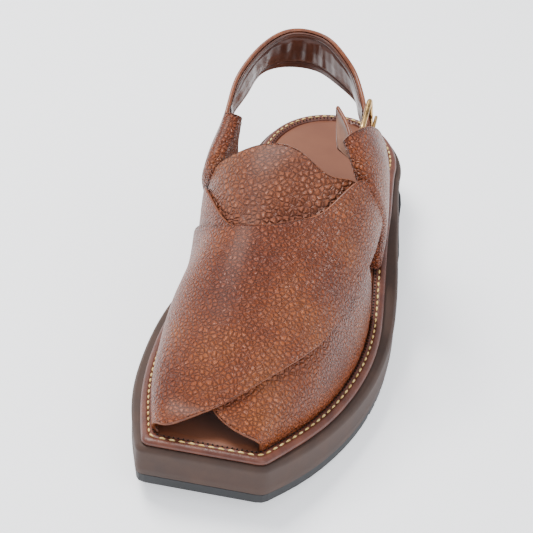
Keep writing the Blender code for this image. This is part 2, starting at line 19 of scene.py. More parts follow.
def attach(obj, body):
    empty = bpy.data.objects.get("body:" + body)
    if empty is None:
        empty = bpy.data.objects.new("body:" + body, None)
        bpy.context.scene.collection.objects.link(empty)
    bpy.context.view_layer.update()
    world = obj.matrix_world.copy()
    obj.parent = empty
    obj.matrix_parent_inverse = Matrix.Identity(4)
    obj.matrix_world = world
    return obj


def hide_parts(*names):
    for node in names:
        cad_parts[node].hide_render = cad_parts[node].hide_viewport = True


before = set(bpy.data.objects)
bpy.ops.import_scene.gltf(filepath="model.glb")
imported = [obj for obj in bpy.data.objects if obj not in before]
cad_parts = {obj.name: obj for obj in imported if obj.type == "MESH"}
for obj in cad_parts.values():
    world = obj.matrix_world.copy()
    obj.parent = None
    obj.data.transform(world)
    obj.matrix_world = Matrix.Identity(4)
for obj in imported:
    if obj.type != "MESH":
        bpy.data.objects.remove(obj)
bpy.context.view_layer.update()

LOG = logging.getLogger("chappal")
Grid = np.ndarray
CENTRE = np.array((0.00564677, 0.00303156, 0.0))
MM = 0.001
METRE_IN_MM = 1000


class Layer(Enum):
    """Outline of a sole layer.

    The values are the medial and lateral columns of the sole's table, the heel
    end as a share of the sole's length, and the set-back of its toe.
    """

    OUTER = (1, 2, 0.511, 0.0)
    RIM = (3, 4, 0.503, 0.0014)


def table(*rows: Sequence[float]) -> Grid:
    """Dataclass field that holds a table of numbers."""
    return field(default_factory=lambda: np.array(rows))


def spline(knots: Grid, values: Grid, places: Grid) -> Grid:
    """Natural cubic through rows of values.

    Args:
        knots: rising places of the rows.
        values: one row of values for each knot.
        places: where the curve is read.

    Returns:
        The values at the places.
    """
    knots = np.asarray(knots, float)
    values = np.asarray(values, float)
    step = np.diff(knots)
    count = len(knots)
    system = np.eye(count)
    right = np.zeros_like(values)
    for i in range(1, count - 1):
        system[i, i - 1:i + 2] = step[i - 1], 2 * (step[i - 1] + step[i]), step[i]
        rise = (values[i + 1] - values[i]) / step[i]
        right[i] = 3 * (rise - (values[i] - values[i - 1]) / step[i - 1])
    bend = np.linalg.solve(system, right)
    places = np.asarray(places, float)
    seg = np.clip(np.searchsorted(knots, places) - 1, 0, count - 2)
    wide = (...,) + (None,) * (values.ndim - 1)
    h = step[seg][wide]
    t = (places - knots[seg])[wide]
    slope = (values[seg + 1] - values[seg]) / h - h * (2 * bend[seg] + bend[seg + 1]) / 3
    return values[seg] + slope * t + bend[seg] * t**2 + (bend[seg + 1] - bend[seg]) / (3 * h) * t**3


def smooth_step(t: Grid) -> Grid:
    """Rise from 0 to 1 with level ends: 3t^2 - 2t^3."""
    t = np.clip(t, 0.0, 1.0)
    return t * t * (3 - 2 * t)


def unit(vectors: Grid) -> Grid:
    """Vectors at length one."""
    return vectors / np.linalg.norm(vectors, axis=-1)[..., None]


def normals(grid: Grid) -> Grid:
    """Unit normals of a grid of points: rows crossed with columns."""
    return unit(np.cross(np.gradient(grid, axis=0), np.gradient(grid, axis=1)))


def walked(path: Grid) -> Grid:
    """Distance walked along a path to each of its points."""
    return np.concatenate(((0.0,), np.cumsum(np.linalg.norm(np.diff(path, axis=0), axis=1))))


def read_path(values: Grid, way: Grid, places: Grid) -> Grid:
    """Rows of values, known at walked distances, read at other distances."""
    return np.stack([np.interp(places, way, column) for column in values.T], -1)


def resample(path: Grid, step: float, closed: bool = False) -> Grid:
    """Points at even steps along a path.

    Args:
        path: points in 2-D or 3-D.
        step: spacing in metres.
        closed: also run from the last point back to the first.

    Returns:
        Evenly spaced points.
    """
    if closed:
        path = np.vstack((path, path[:1]))
    way = walked(path)
    count = max(2, int(round(way[-1] / step)) + 1)
    made = read_path(path, way, np.linspace(0, way[-1], count))
    return made[:-1] if closed else made


def read_rows(grid: Grid, shares: Grid) -> Grid:
    """Read each row of a grid of points at its own shares.

    Args:
        grid: rows x columns x 3.
        shares: places in each row, 0 at its first point and 1 at its last.

    Returns:
        The points in between, one row of them for each row of shares.
    """
    rows, columns = grid.shape[:2]
    at = np.clip(shares * (columns - 1), 0, columns - 1.001)
    left = at.astype(int)
    part = (at - left)[..., None]
    row = np.arange(rows)[:, None]
    return grid[row, left] * (1 - part) + grid[row, left + 1] * part


@dataclass(frozen=True)
class Last:
    """The shoe's driving form: sole outline, heights and the last's skin.

    The rows of sole_rows hold Y as a share of the sole's length, then the
    medial and lateral edge of the outsole and those of the rim as shares of the
    ball's width. Those of last_rows hold Y, then X as a share of the ball's
    width and Z as a share of the instep's height for the medial side, the crest
    and the lateral side.
    """

    sole_length: float = 0.2845
    ball_width: float = 0.110
    instep_height: float = 0.107
    outsole: float = 0.0053
    midsole: float = 0.0162
    rim_width: float = 0.0060
    insole: float = 0.0026
    leather: float = 0.0020
    gap: float = 0.0003
    toe_spring: float = 0.0085
    spring_power: float = 1.7
    breast_height: float = 0.0105
    heel_height: float = 0.0135
    toe_end: float = -0.4900
    toe_slant: float = 0.085
    flat_start: float = -0.246
    flat_end: float = -0.077
    breast: float = 0.20
    heel_powers: tuple[float, float] = (1.90, 2.15)
    side_points: int = 300
    heel_points: int = 240
    smoothing: int = 12
    sole_rows: Grid = table(
        (-0.560, -0.173, 0.153, -0.161, 0.141), (-0.500, -0.245, 0.226, -0.222, 0.216),
        (-0.430, -0.327, 0.337, -0.292, 0.310), (-0.350, -0.398, 0.436, -0.357, 0.407),
        (-0.280, -0.433, 0.497, -0.392, 0.464), (-0.210, -0.449, 0.537, -0.408, 0.499),
        (-0.140, -0.448, 0.553, -0.406, 0.510), (-0.070, -0.427, 0.549, -0.386, 0.497),
        (0.000, -0.398, 0.528, -0.357, 0.469), (0.070, -0.377, 0.496, -0.337, 0.438),
        (0.140, -0.369, 0.458, -0.331, 0.408), (0.210, -0.369, 0.426, -0.333, 0.386),
        (0.280, -0.380, 0.390, -0.345, 0.358), (0.335, -0.389, 0.366, -0.358, 0.338))
    last_rows: Grid = table(
        (-0.492, -0.136, 0.346, 0.009, 0.360, 0.155, 0.346),
        (-0.432, -0.173, 0.357, 0.009, 0.380, 0.191, 0.362),
        (-0.369, -0.218, 0.420, 0.009, 0.502, 0.264, 0.412),
        (-0.299, -0.245, 0.486, 0.000, 0.617, 0.310, 0.467),
        (-0.228, -0.255, 0.561, -0.009, 0.720, 0.310, 0.542),
        (-0.158, -0.247, 0.636, -0.018, 0.813, 0.310, 0.626),
        (-0.056, -0.310, 0.785, -0.018, 0.981, 0.327, 0.822),
        (0.035, -0.336, 0.841, -0.009, 1.065, 0.327, 0.897),
        (0.141, -0.341, 0.860, 0.000, 1.200, 0.280, 0.830),
        (0.211, -0.336, 0.870, 0.000, 1.290, 0.267, 0.810))

    @property
    def size(self) -> Grid:
        """Lengths that shares of X, Y and Z are multiplied by."""
        return np.array((self.ball_width, self.sole_length, self.instep_height))

    def underside(self, y: Grid) -> Grid:
        """Height of the sole's underside at Y: toe spring, flat ball, arch, heel."""
        share = np.asarray(y, float) / self.sole_length
        toe = np.clip((self.flat_start - share) / (self.flat_start - self.toe_end), 0.0, None)
        arch = smooth_step((share - self.flat_end) / (self.breast - self.flat_end))
        back = np.clip((share - self.breast) / (Layer.OUTER.value[2] - self.breast), 0.0, 1.0)
        rise = self.heel_height - self.breast_height
        return self.toe_spring * toe**self.spring_power + self.breast_height * arch + rise * back

    def midsole_top(self, y: Grid) -> Grid:
        """Height of the midsole's upper face at Y."""
        return self.underside(y) + self.outsole + self.midsole

    def edge_run(self, medial: int, lateral: int, back: float) -> Grid:
        """Edge of a sole layer in plan, from the lateral toe round the heel.

        Args:
            medial: column of the medial edge in sole_rows.
            lateral: column of the lateral edge.
            back: heel end as a share of the sole's length.

        Returns:
            Plan points: splined sides joined by a superellipse.
        """
        along = self.sole_rows[:, 0] * self.sole_length
        y = np.linspace(along[0], along[-1], self.side_points)
        east = spline(along, self.sole_rows[:, lateral] * self.ball_width, y)
        west = spline(along, self.sole_rows[:, medial] * self.ball_width, y)
        turn = np.linspace(0.0, math.pi, self.heel_points)[1:-1]
        middle = (east[-1] + west[-1]) / 2
        half = (east[-1] - west[-1]) / 2
        power = 2 / np.where(np.cos(turn) > 0, *self.heel_powers)
        heel_x = middle + half * np.sign(np.cos(turn)) * np.abs(np.cos(turn))**power
        heel_y = y[-1] + (back * self.sole_length - y[-1]) * np.sin(turn)**power
        run = np.vstack((np.column_stack((east, y)), np.column_stack((heel_x, heel_y)),
                         np.column_stack((west[::-1], y[::-1]))))
        for _ in range(self.smoothing):
            run[1:-1] = (run[:-2] + 2 * run[1:-1] + run[2:]) / 4
        return run

    def plan(self, layer: Layer, inset: float = 0.0, taper: float = 0.0) -> Grid:
        """Edge of a layer, moved inwards and cut off at the straight toe.

        Args:
            layer: which outline.
            inset: distance inwards along the edge's normals.
            taper: further distance at the heel.

        Returns:
            Plan points from the lateral to the medial toe corner.
        """
        medial, lateral, back, set_back = layer.value
        front = self.toe_end * self.sole_length + set_back + inset * math.hypot(1, self.toe_slant)
        run = self.edge_run(medial, lateral, back)
        way = unit(np.gradient(run, axis=0))
        deep = inset + taper * smooth_step(run[:, 1:] / (0.3 * self.sole_length))
        run = run + deep * np.column_stack((-way[:, 1], way[:, 0]))
        over = front + self.toe_slant * run[:, 0] - run[:, 1]
        kept = np.flatnonzero(over <= 0)
        ends = []
        for inner, outer in ((kept[0], kept[0] - 1), (kept[-1], kept[-1] + 1)):
            share = over[outer] / (over[outer] - over[inner])
            ends.append(run[outer] + (run[inner] - run[outer]) * share)
        return np.vstack((ends[0], run[kept[0]:kept[-1] + 1], ends[1]))

    def point(self, across: Grid, along: Grid) -> Grid:
        """Point on the last.

        Args:
            across: 0 at the medial foot, 0.5 on the crest, 1 at the lateral foot.
            along: Y in metres.

        Returns:
            Points: a natural cubic through five knots across, splined along.
        """
        across, along = np.broadcast_arrays(across, along)
        y = along.ravel()
        rows = spline(self.last_rows[:, 0], self.last_rows[:, 1:], y / self.sole_length)
        path = self.plan(Layer.RIM, self.rim_width + self.gap + self.leather)
        middle = len(path) // 2
        west, east = path[middle:][::-1], path[:middle]
        foot = self.midsole_top(y) + self.insole + 2 * self.gap
        knots = np.array((np.interp(y, west[:, 1], west[:, 0]), *(rows[:, 0:5:2].T * self.ball_width),
                          np.interp(y, east[:, 1], east[:, 0])))
        rises = np.array((foot, *(rows[:, 1:6:2].T * self.instep_height), foot))
        weights = spline(np.linspace(0, 1, 5), np.eye(5), across.ravel()).T
        places = np.stack(((weights * knots).sum(0), y, (weights * rises).sum(0)), -1)
        return places.reshape(across.shape + (3,))

    def skin(self, across: Grid, along: Grid, lift: Grid) -> Grid:
        """The last's skin moved outwards by lift.

        Args:
            across: places across.
            along: Y in metres.
            lift: distance along the outward normal.

        Returns:
            Points in the last's own frame.
        """
        across, along = np.broadcast_arrays(np.asarray(across, float), np.asarray(along, float))
        step = 1e-4
        dx = self.point(across + step, along) - self.point(across - step, along)
        dy = self.point(across, along + step) - self.point(across, along - step)
        return self.point(across, along) + unit(np.cross(dx, dy)) * np.asarray(lift)[..., None]


def linear(code: str) -> tuple[float, float, float, float]:
    """Linear colour of an sRGB hex code such as 8a4526."""
    values = [int(code[i:i + 2], 16) / 255 for i in (0, 2, 4)]
    return (*[v / 12.92 if v <= 0.04045 else ((v + 0.055) / 1.055)**2.4 for v in values], 1.0)


def add(tree: bpy.types.NodeTree, kind: str, settings: dict | None = None,
        links: dict | None = None) -> bpy.types.Node:
    """Add one node with its settings and links.

    Args:
        tree: the material's node tree.
        kind: the node's type name.
        settings: properties by name, input values by socket name or number, or
            "stops" with the place and sRGB hex code of each stop.
        links: input socket name or number to the output socket that feeds it.

    Returns:
        The new node.
    """
    made = tree.nodes.new(kind)
    for name, value in (settings or {}).items():
        if name == "stops":
            while len(made.color_ramp.elements) < len(value):
                made.color_ramp.elements.new(0.5)
            for element, (place, code) in zip(made.color_ramp.elements, value):
                element.position = place
                element.color = linear(code)
        elif isinstance(name, str) and hasattr(made, name):
            setattr(made, name, value)
        else:
            made.inputs[name].default_value = value
    for name, source in (links or {}).items():
        tree.links.new(source, made.inputs[name])
    return made


def blank(name: str, **sockets: float) -> tuple[bpy.types.Material, bpy.types.NodeTree, bpy.types.Node]:
    """New material whose Principled node has some uniform values.

    Args:
        name: the material's name.
        sockets: values by socket name, with _ for a space.

    Returns:
        The material, its tree and its Principled node.
    """
    made = bpy.data.materials.new(name)
    made.use_nodes = True
    shader = made.node_tree.nodes["Principled BSDF"]
    for socket, value in sockets.items():
        shader.inputs[socket.replace("_", " ")].default_value = value
    return made, made.node_tree, shader


@dataclass(frozen=True)
class Hide:
    """Leather with a grain of rounded pebbles, patches of dye, painted shade in the valleys and a soft gloss.
    """

    name: str
    dark: str
    middle: str
    light: str
    valley_shade: str
    pebble_mm: float
    depth_mm: float
    roughness: float = 0.40
    coat: float = 0.14
    patch_mm: float = 34.0
    bend: float = 0.0013
    bend_pebbles: float = 1.6
    dome: tuple[float, float] = (-0.08, 0.38)
    pores: float = 2.6
    pore_height: float = 0.35
    valley_shade_reach: float = 0.13
    valley_shade_share: float = 0.68
    rough_spread: tuple[float, float] = (-0.08, 0.14)
    burnished: str = "a04c1c"

    def build(self) -> bpy.types.Material:
        """Full-grain cowhide: pebbles split by narrow valleys, which are darkened with painted shade.

        Returns:
            The material. A piece's "burnish" attribute warms its colour.
        """
        made, tree, shader = blank(self.name, Coat_Weight=self.coat, Coat_Roughness=0.30, IOR=1.42)
        place = add(tree, "ShaderNodeTexCoord").outputs["Object"]
        bend_mm = self.pebble_mm * self.bend_pebbles
        warp = add(tree, "ShaderNodeTexNoise", {"Scale": METRE_IN_MM / bend_mm, "Detail": 2.0},
                   {"Vector": place})
        bent = add(tree, "ShaderNodeMix", {"data_type": "VECTOR", 0: self.bend},
                   {4: place, 5: warp.outputs["Color"]}).outputs[1]
        cells = add(tree, "ShaderNodeTexVoronoi",
                    {"feature": "DISTANCE_TO_EDGE", "Scale": METRE_IN_MM / self.pebble_mm},
                    {"Vector": bent}).outputs["Distance"]
        start, end = self.dome
        dome = add(tree, "ShaderNodeMapRange", {"interpolation_type": "SMOOTHSTEP", 1: start, 2: end},
                   {0: cells})
        small = add(tree, "ShaderNodeTexNoise",
                    {"Scale": self.pores * METRE_IN_MM / self.pebble_mm, "Detail": 2.0}, {"Vector": bent})
        height = add(tree, "ShaderNodeMath", {"operation": "MULTIPLY_ADD", 1: self.pore_height},
                     {0: small.outputs["Fac"], 2: dome.outputs[0]})
        patch = add(tree, "ShaderNodeTexNoise",
                    {"Scale": METRE_IN_MM / self.patch_mm, "Detail": 4.0, "Roughness": 0.55},
                    {"Vector": place}).outputs["Fac"]
        stops = ((0.32, self.dark), (0.50, self.middle), (0.70, self.light))
        dye = add(tree, "ShaderNodeValToRGB", {"stops": stops}, {0: patch})
        rubbed = add(tree, "ShaderNodeAttribute", {"attribute_name": "burnish"})
        warm = add(tree, "ShaderNodeMix", {"data_type": "RGBA", 7: linear(self.burnished)},
                   {0: rubbed.outputs["Fac"], 6: dye.outputs["Color"]})
        # Painted shade: a dark colour is mixed in near the cell edges, in the valleys between the pebbles.
        sunk = add(tree, "ShaderNodeMapRange", {2: self.valley_shade_reach, 3: self.valley_shade_share, 4: 0.0},
                   {0: cells})
        tone = add(tree, "ShaderNodeMix", {"data_type": "RGBA", 7: linear(self.valley_shade)},
                   {0: sunk.outputs[0], 6: warm.outputs[2]})
        least, most = (self.roughness + spread for spread in self.rough_spread)
        rough = add(tree, "ShaderNodeMapRange", {3: least, 4: most}, {0: patch})
        relief = add(tree, "ShaderNodeBump", {"Strength": 1.0, "Distance": self.depth_mm * MM},
                     {"Height": height.outputs[0]})
        for socket, source in (("Base Color", tone.outputs[2]), ("Roughness", rough.outputs[0]),
                               ("Normal", relief.outputs["Normal"])):
            tree.links.new(source, shader.inputs[socket])
        return made


@dataclass(frozen=True)
class Plain:
    """A fine-textured finish: smooth leather, foam, rubber, suede, thread or cut edge."""

    name: str
    dark: str
    light: str
    roughness: float
    grain_mm: float
    depth_mm: float
    patch_mm: float
    coat: float = 0.0
    sheen: float = 0.0
    spread: float = 0.07

    def build(self) -> bpy.types.Material:
        """Two tones in soft patches over a fine fibrous or moulded bump.

        Returns:
            The material.
        """
        made, tree, shader = blank(self.name, Coat_Weight=self.coat, Coat_Roughness=0.35,
                                   Sheen_Weight=self.sheen)
        place = add(tree, "ShaderNodeTexCoord").outputs["Object"]
        patch = add(tree, "ShaderNodeTexNoise",
                    {"Scale": METRE_IN_MM / self.patch_mm, "Detail": 5.0, "Roughness": 0.6},
                    {"Vector": place}).outputs["Fac"]
        tone = add(tree, "ShaderNodeValToRGB", {"stops": ((0.34, self.dark), (0.68, self.light))}, {0: patch})
        fine = add(tree, "ShaderNodeTexNoise", {"Scale": METRE_IN_MM / self.grain_mm, "Detail": 3.0},
                   {"Vector": place})
        rough = add(tree, "ShaderNodeMapRange",
                    {3: self.roughness - self.spread, 4: self.roughness + self.spread}, {0: patch})
        relief = add(tree, "ShaderNodeBump", {"Strength": 0.6, "Distance": self.depth_mm * MM},
                     {"Height": fine.outputs["Fac"]})
        for socket, source in (("Base Color", tone.outputs["Color"]), ("Roughness", rough.outputs[0]),
                               ("Normal", relief.outputs["Normal"])):
            tree.links.new(source, shader.inputs[socket])
        return made


@dataclass(frozen=True)
class Brass:
    """Cast brass, dipped dark and rubbed bright on its edges."""

    name: str = "antique brass"
    bright: str = "c9a36a"
    dipped: str = "4a3524"
    patina_mm: float = 2.38

    def build(self) -> bpy.types.Material:
        """Brown patina in the low places, gold where hands rub it.

        Returns:
            The material.
        """
        made, tree, shader = blank(self.name, Metallic=1.0)
        place = add(tree, "ShaderNodeTexCoord").outputs["Object"]
        patina = add(tree, "ShaderNodeTexNoise", {"Scale": METRE_IN_MM / self.patina_mm, "Detail": 4.0},
                     {"Vector": place}).outputs["Fac"]
        tone = add(tree, "ShaderNodeValToRGB", {"stops": ((0.30, self.dipped), (0.52, self.bright))},
                   {0: patina})
        rough = add(tree, "ShaderNodeMapRange", {3: 0.42, 4: 0.22}, {0: patina})
        tree.links.new(tone.outputs["Color"], shader.inputs["Base Color"])
        tree.links.new(rough.outputs[0], shader.inputs["Roughness"])
        return made


class Finishes:
    """All materials of the shoe, built once."""

    def __init__(self) -> None:
        """Build each finish."""
        # The fourth colour of each hide below is painted shade for the valleys between its pebbles.
        # Aniline-dyed cowhide with a milled grain: pebbles of about 2 mm, satin gloss
        self.grain = Hide("milled cowhide", "74351a", "8b4521", "9f582b", "42190c", 2.0, 1.35).build()
        # The same hide, sheltered and less rubbed: a coarser grain and a cooler dye
        self.tongue = Hide("milled cowhide tongue", "753c24", "894a2b", "985936", "40190d", 2.5, 1.6).build()
        # Bridle-finished smooth leather: fine pores, silky
        self.sock = Plain("smooth sock leather", "6a3a24", "79472e", 0.55, 0.7, 0.05, 40.0, 0.03).build()
        # Thin lining leather with a waxy gleam on its folds
        self.lining = Plain("waxed lining leather", "44241a", "63392a", 0.36, 0.8, 0.06, 18.0, 0.25).build()
        # Vegetable-tanned strip, wetted and wrapped round the edge: darker
        self.rim = Plain("wrapped rim leather", "4c2114", "683624", 0.45, 1.2, 0.35, 9.0, 0.10).build()
        # Raw edge of the hide, burnished orange
        self.edge = Plain("burnished cut edge", "5f2f1a", "8a4c2b", 0.45, 0.5, 0.10, 6.0, 0.10).build()
        # Flesh side, buffed to a nap
        self.suede = Plain("buffed flesh side", "8c6350", "a87c66", 0.85, 0.5, 0.12, 10.0, 0.0, 0.35).build()
        # Expanded rubber sheet, cut and ground: matt taupe
        self.foam = Plain("ground foam rubber", "37241b", "452f24", 0.70, 0.6, 0.08, 14.0).build()
        # Moulded rubber: charcoal, faintly dusty
        self.rubber = Plain("moulded black rubber", "121315", "1f2023", 0.60, 0.9, 0.10, 12.0).build()
        # Waxed linen thread: cream with golden fibres
        self.thread = Plain("waxed linen thread", "c99f55", "efd694", 0.55, 0.35, 0.10, 2.0).build()
        # Crimps pressed by the lasting awl, in their own shadow
        self.hole = Plain("needle hole shadow", "180c08", "2a140c", 0.9, 0.5, 0.05, 3.0).build()
        self.brass = Brass().build()


def border_loop(rows: int, columns: int) -> Grid:
    """Vertex numbers round the border of a grid."""
    index = np.arange(rows * columns).reshape(rows, columns)
    return np.concatenate((index[0], index[1:-1, -1], index[-1, ::-1], index[-2:0:-1, 0]))


def bridge(first: Grid, second: Grid) -> Grid:
    """Quads between two closed loops of vertex numbers."""
    return np.stack((first, np.roll(first, -1), np.roll(second, -1), second), 1)


def quads(rows: int, columns: int, close_rows: bool = False, close_columns: bool = False) -> Grid:
    """Quads of a grid of vertices, wound so that rows x columns points out.

    Args:
        rows: number of rows.
        columns: number of columns.
        close_rows: join the last row to the first.
        close_columns: join the last column to the first.

    Returns:
        Rows of four vertex numbers.
    """
    index = np.arange(rows * columns).reshape(rows, columns)
    if close_rows:
        index = np.vstack((index, index[:1]))
    if close_columns:
        index = np.hstack((index, index[:, :1]))
    corners = (index[:-1, :-1], index[1:, :-1], index[1:, 1:], index[:-1, 1:])
    return np.stack([corner.ravel() for corner in corners], 1)


def outwards(points: Grid, faces: Grid) -> Grid:
    """Wind quads so that they face out of the volume that they enclose.

    Args:
        points: vertices, any leading shape.
        faces: rows of four vertex numbers.

    Returns:
        The quads, all turned where the sum of a . (b x c) / 6 is below zero.
    """
    a, b, c, d = (points.reshape(-1, 3)[faces[:, k]] for k in range(4))
    volume = ((a * np.cross(b, c)).sum(1) + (a * np.cross(c, d)).sum(1)).sum() / 6
    return faces[:, ::-1] if volume < 0 else faces


def mesh_object(name: str, points: Grid, faces: Grid, materials: Sequence[bpy.types.Material],
                slots: Grid | None = None) -> bpy.types.Object:
    """Make a smooth-shaded mesh object whose place is in its mesh.

    Args:
        name: the piece's name.
        points: vertices in the last's frame, any leading shape.
        faces: quads as rows of four vertex numbers.
        materials: the materials of its slots.
        slots: material slot of each face.

    Returns:
        The linked object.
    """
    mesh = bpy.data.meshes.new(name)
    mesh.from_pydata((points.reshape(-1, 3) - CENTRE).tolist(), [], faces.tolist())
    for material in materials:
        mesh.materials.append(material)
    if slots is not None:
        mesh.polygons.foreach_set("material_index", slots.astype(np.int32))
    mesh.shade_smooth()
    mesh.validate()
    made = bpy.data.objects.new(name, mesh)
    bpy.context.collection.objects.link(made)
    return made


EDGE_ANGLES = np.radians((-60.0, -30.0, 0.0, 30.0, 60.0))


def cushion_sheet(name: str, grid: Grid, out: Grid, thick: Grid, face: bpy.types.Material,
                  edge: bpy.types.Material) -> bpy.types.Object:
    """Closed sheet with a rounded edge: P on the inner side, P + n t on the outer.

    At an angle a the border point is moved out of the sheet by
    t/2 (cos a - 0.35) and along the normal by t/2 (1 + 0.98 sin a).

    Args:
        name: the piece's name.
        grid: inner face, rows x columns x 3.
        out: outward unit normals there.
        thick: thickness in metres, a number or a grid.
        face: material of both faces.
        edge: material of the rounded edge.

    Returns:
        The piece.
    """
    tuck, lean = 0.35, 0.98
    rows, columns = grid.shape[:2]
    index = np.arange(rows * columns).reshape(rows, columns)
    loop = border_loop(rows, columns)
    inside = np.concatenate((index[1], index[1:-1, -2], index[-2, ::-1], index[-2:0:-1, 1]))
    flat, flat_out = grid.reshape(-1, 3), out.reshape(-1, 3)
    flat_thick = np.broadcast_to(np.asarray(thick, float), (rows, columns)).reshape(-1, 1)
    rim, rim_out, half = flat[loop], flat_out[loop], flat_thick[loop] / 2
    run = unit(np.roll(rim, -1, 0) - np.roll(rim, 1, 0))
    side = unit(np.cross(run, rim_out))
    side = side * np.where((side * (rim - flat[inside])).sum(1) < 0, -1.0, 1.0)[:, None]
    loops = [rim + side * half * (math.cos(a) - tuck) + rim_out * half * (1 + math.sin(a) * lean)
             for a in EDGE_ANGLES]
    points = np.vstack([flat] + loops + [flat + flat_out * flat_thick])
    count, long = rows * columns, len(loop)
    last = count + long * len(loops)
    chains = [loop] + [count + long * k + np.arange(long) for k in range(len(loops))] + [loop + last]
    band = np.vstack([bridge(a, b) for a, b in zip(chains[:-1], chains[1:])])
    inner = quads(rows, columns)
    faces = outwards(points, np.vstack((inner[:, ::-1], inner + last, band)))
    slots = np.concatenate((np.zeros(2 * len(inner)), np.ones(len(band))))
    return mesh_object(name, points, faces, (face, edge), slots)


def shade(piece: bpy.types.Object, name: str, values: Grid) -> None:
    """Store a value of each grid point as a vertex attribute of a cushioned sheet.

    Args:
        piece: a piece made by cushion_sheet from a grid of the same shape.
        name: the attribute's name.
        values: one value for each grid point.
    """
    flat = values.reshape(-1)
    edge = np.tile(flat[border_loop(*values.shape)], len(EDGE_ANGLES))
    stored = piece.data.attributes.new(name, "FLOAT", "POINT")
    stored.data.foreach_set("value", np.concatenate((flat, edge, flat)).astype(np.float32))


def tube(name: str, path: Grid, radius: Grid, material: bpy.types.Material,
         closed: bool = False) -> bpy.types.Object:
    """Round tube: P + r (cos a u + sin a v) along a path.

    Args:
        name: the piece's name.
        path: points of the centre line, which never follows the reference.
        radius: radius at each point, or one number.
        material: its material.
        closed: join the end to the start.

    Returns:
        The piece, whose ends are drawn in to a point where it is open.
    """
    reference, sides, point, shoulder = (0.93, 0.11, 0.35), 16, 0.02, 0.9
    way = unit(np.roll(path, -1, 0) - np.roll(path, 1, 0) if closed else np.gradient(path, axis=0))
    flat = unit(np.cross(way, reference))
    other = np.cross(way, flat)
    radius = np.broadcast_to(radius, len(path))
    if not closed:
        path, flat, other, radius = (np.concatenate((v[:1], v, v[-1:])) for v in (path, flat, other, radius))
        radius[[0, -1]] *= point
        radius[[1, -2]] *= shoulder
    turn = np.linspace(0, 2 * math.pi, sides, endpoint=False)[None, :, None]
    ring = np.cos(turn) * flat[:, None] + np.sin(turn) * other[:, None]
    points = path[:, None] + radius[:, None, None] * ring
    faces = outwards(points, quads(len(path), sides, close_rows=closed, close_columns=True))
    return mesh_object(name, points, faces, (material,))


def stitches(name: str, path: Grid, pitch: float, thick: float, material: bpy.types.Material,
             share: float) -> bpy.types.Object:
    """Lockstitches: small arched capsules laid end to end, half sunk.

    The girth at a place u from 0 to 1 is t/2 sin(pi u)^0.5, and the stitch is
    arched upwards by 0.3 t sin(pi u)^0.6.

    Args:
        name: the piece's name.
        path: points of the seam, on a face that looks up.
        pitch: stitch spacing.
        thick: thread thickness.
        material: the thread.
        share: stitch length as a share of the pitch.

    Returns:
        One mesh of all the stitches.
    """
    rings, sides, least, spread, rise = 7, 6, 0.03, 1.15, 0.30
    way = walked(path)
    count = int(way[-1] / pitch)
    centres = (np.arange(count) + 0.5) * way[-1] / count
    u = np.linspace(0, 1, rings)
    places = centres[:, None] + (u - 0.5) * pitch * share
    line = read_path(path, way, places)
    up = np.broadcast_to((0.0, 0.0, 1.0), line.shape)
    run = unit(read_path(path, way, places + 1e-4) - read_path(path, way, places - 1e-4))
    side = unit(np.cross(run, up))
    girth = np.maximum(np.sin(math.pi * u), least)[None, :, None, None]**0.5 * thick / 2
    arch = (np.sin(math.pi * u)**0.6 * thick * rise)[None, :, None]
    turn = np.linspace(0, 2 * math.pi, sides, endpoint=False)[None, None, :, None]
    points = (line + up * arch)[:, :, None] + girth * (
        np.cos(turn) * side[:, :, None] * spread + np.sin(turn) * up[:, :, None])
    one = outwards(points[0], quads(rings, sides, close_columns=True))
    faces = (one[None] + (np.arange(count) * rings * sides)[:, None, None]).reshape(-1, 4)
    return mesh_object(name, points, faces, (material,))


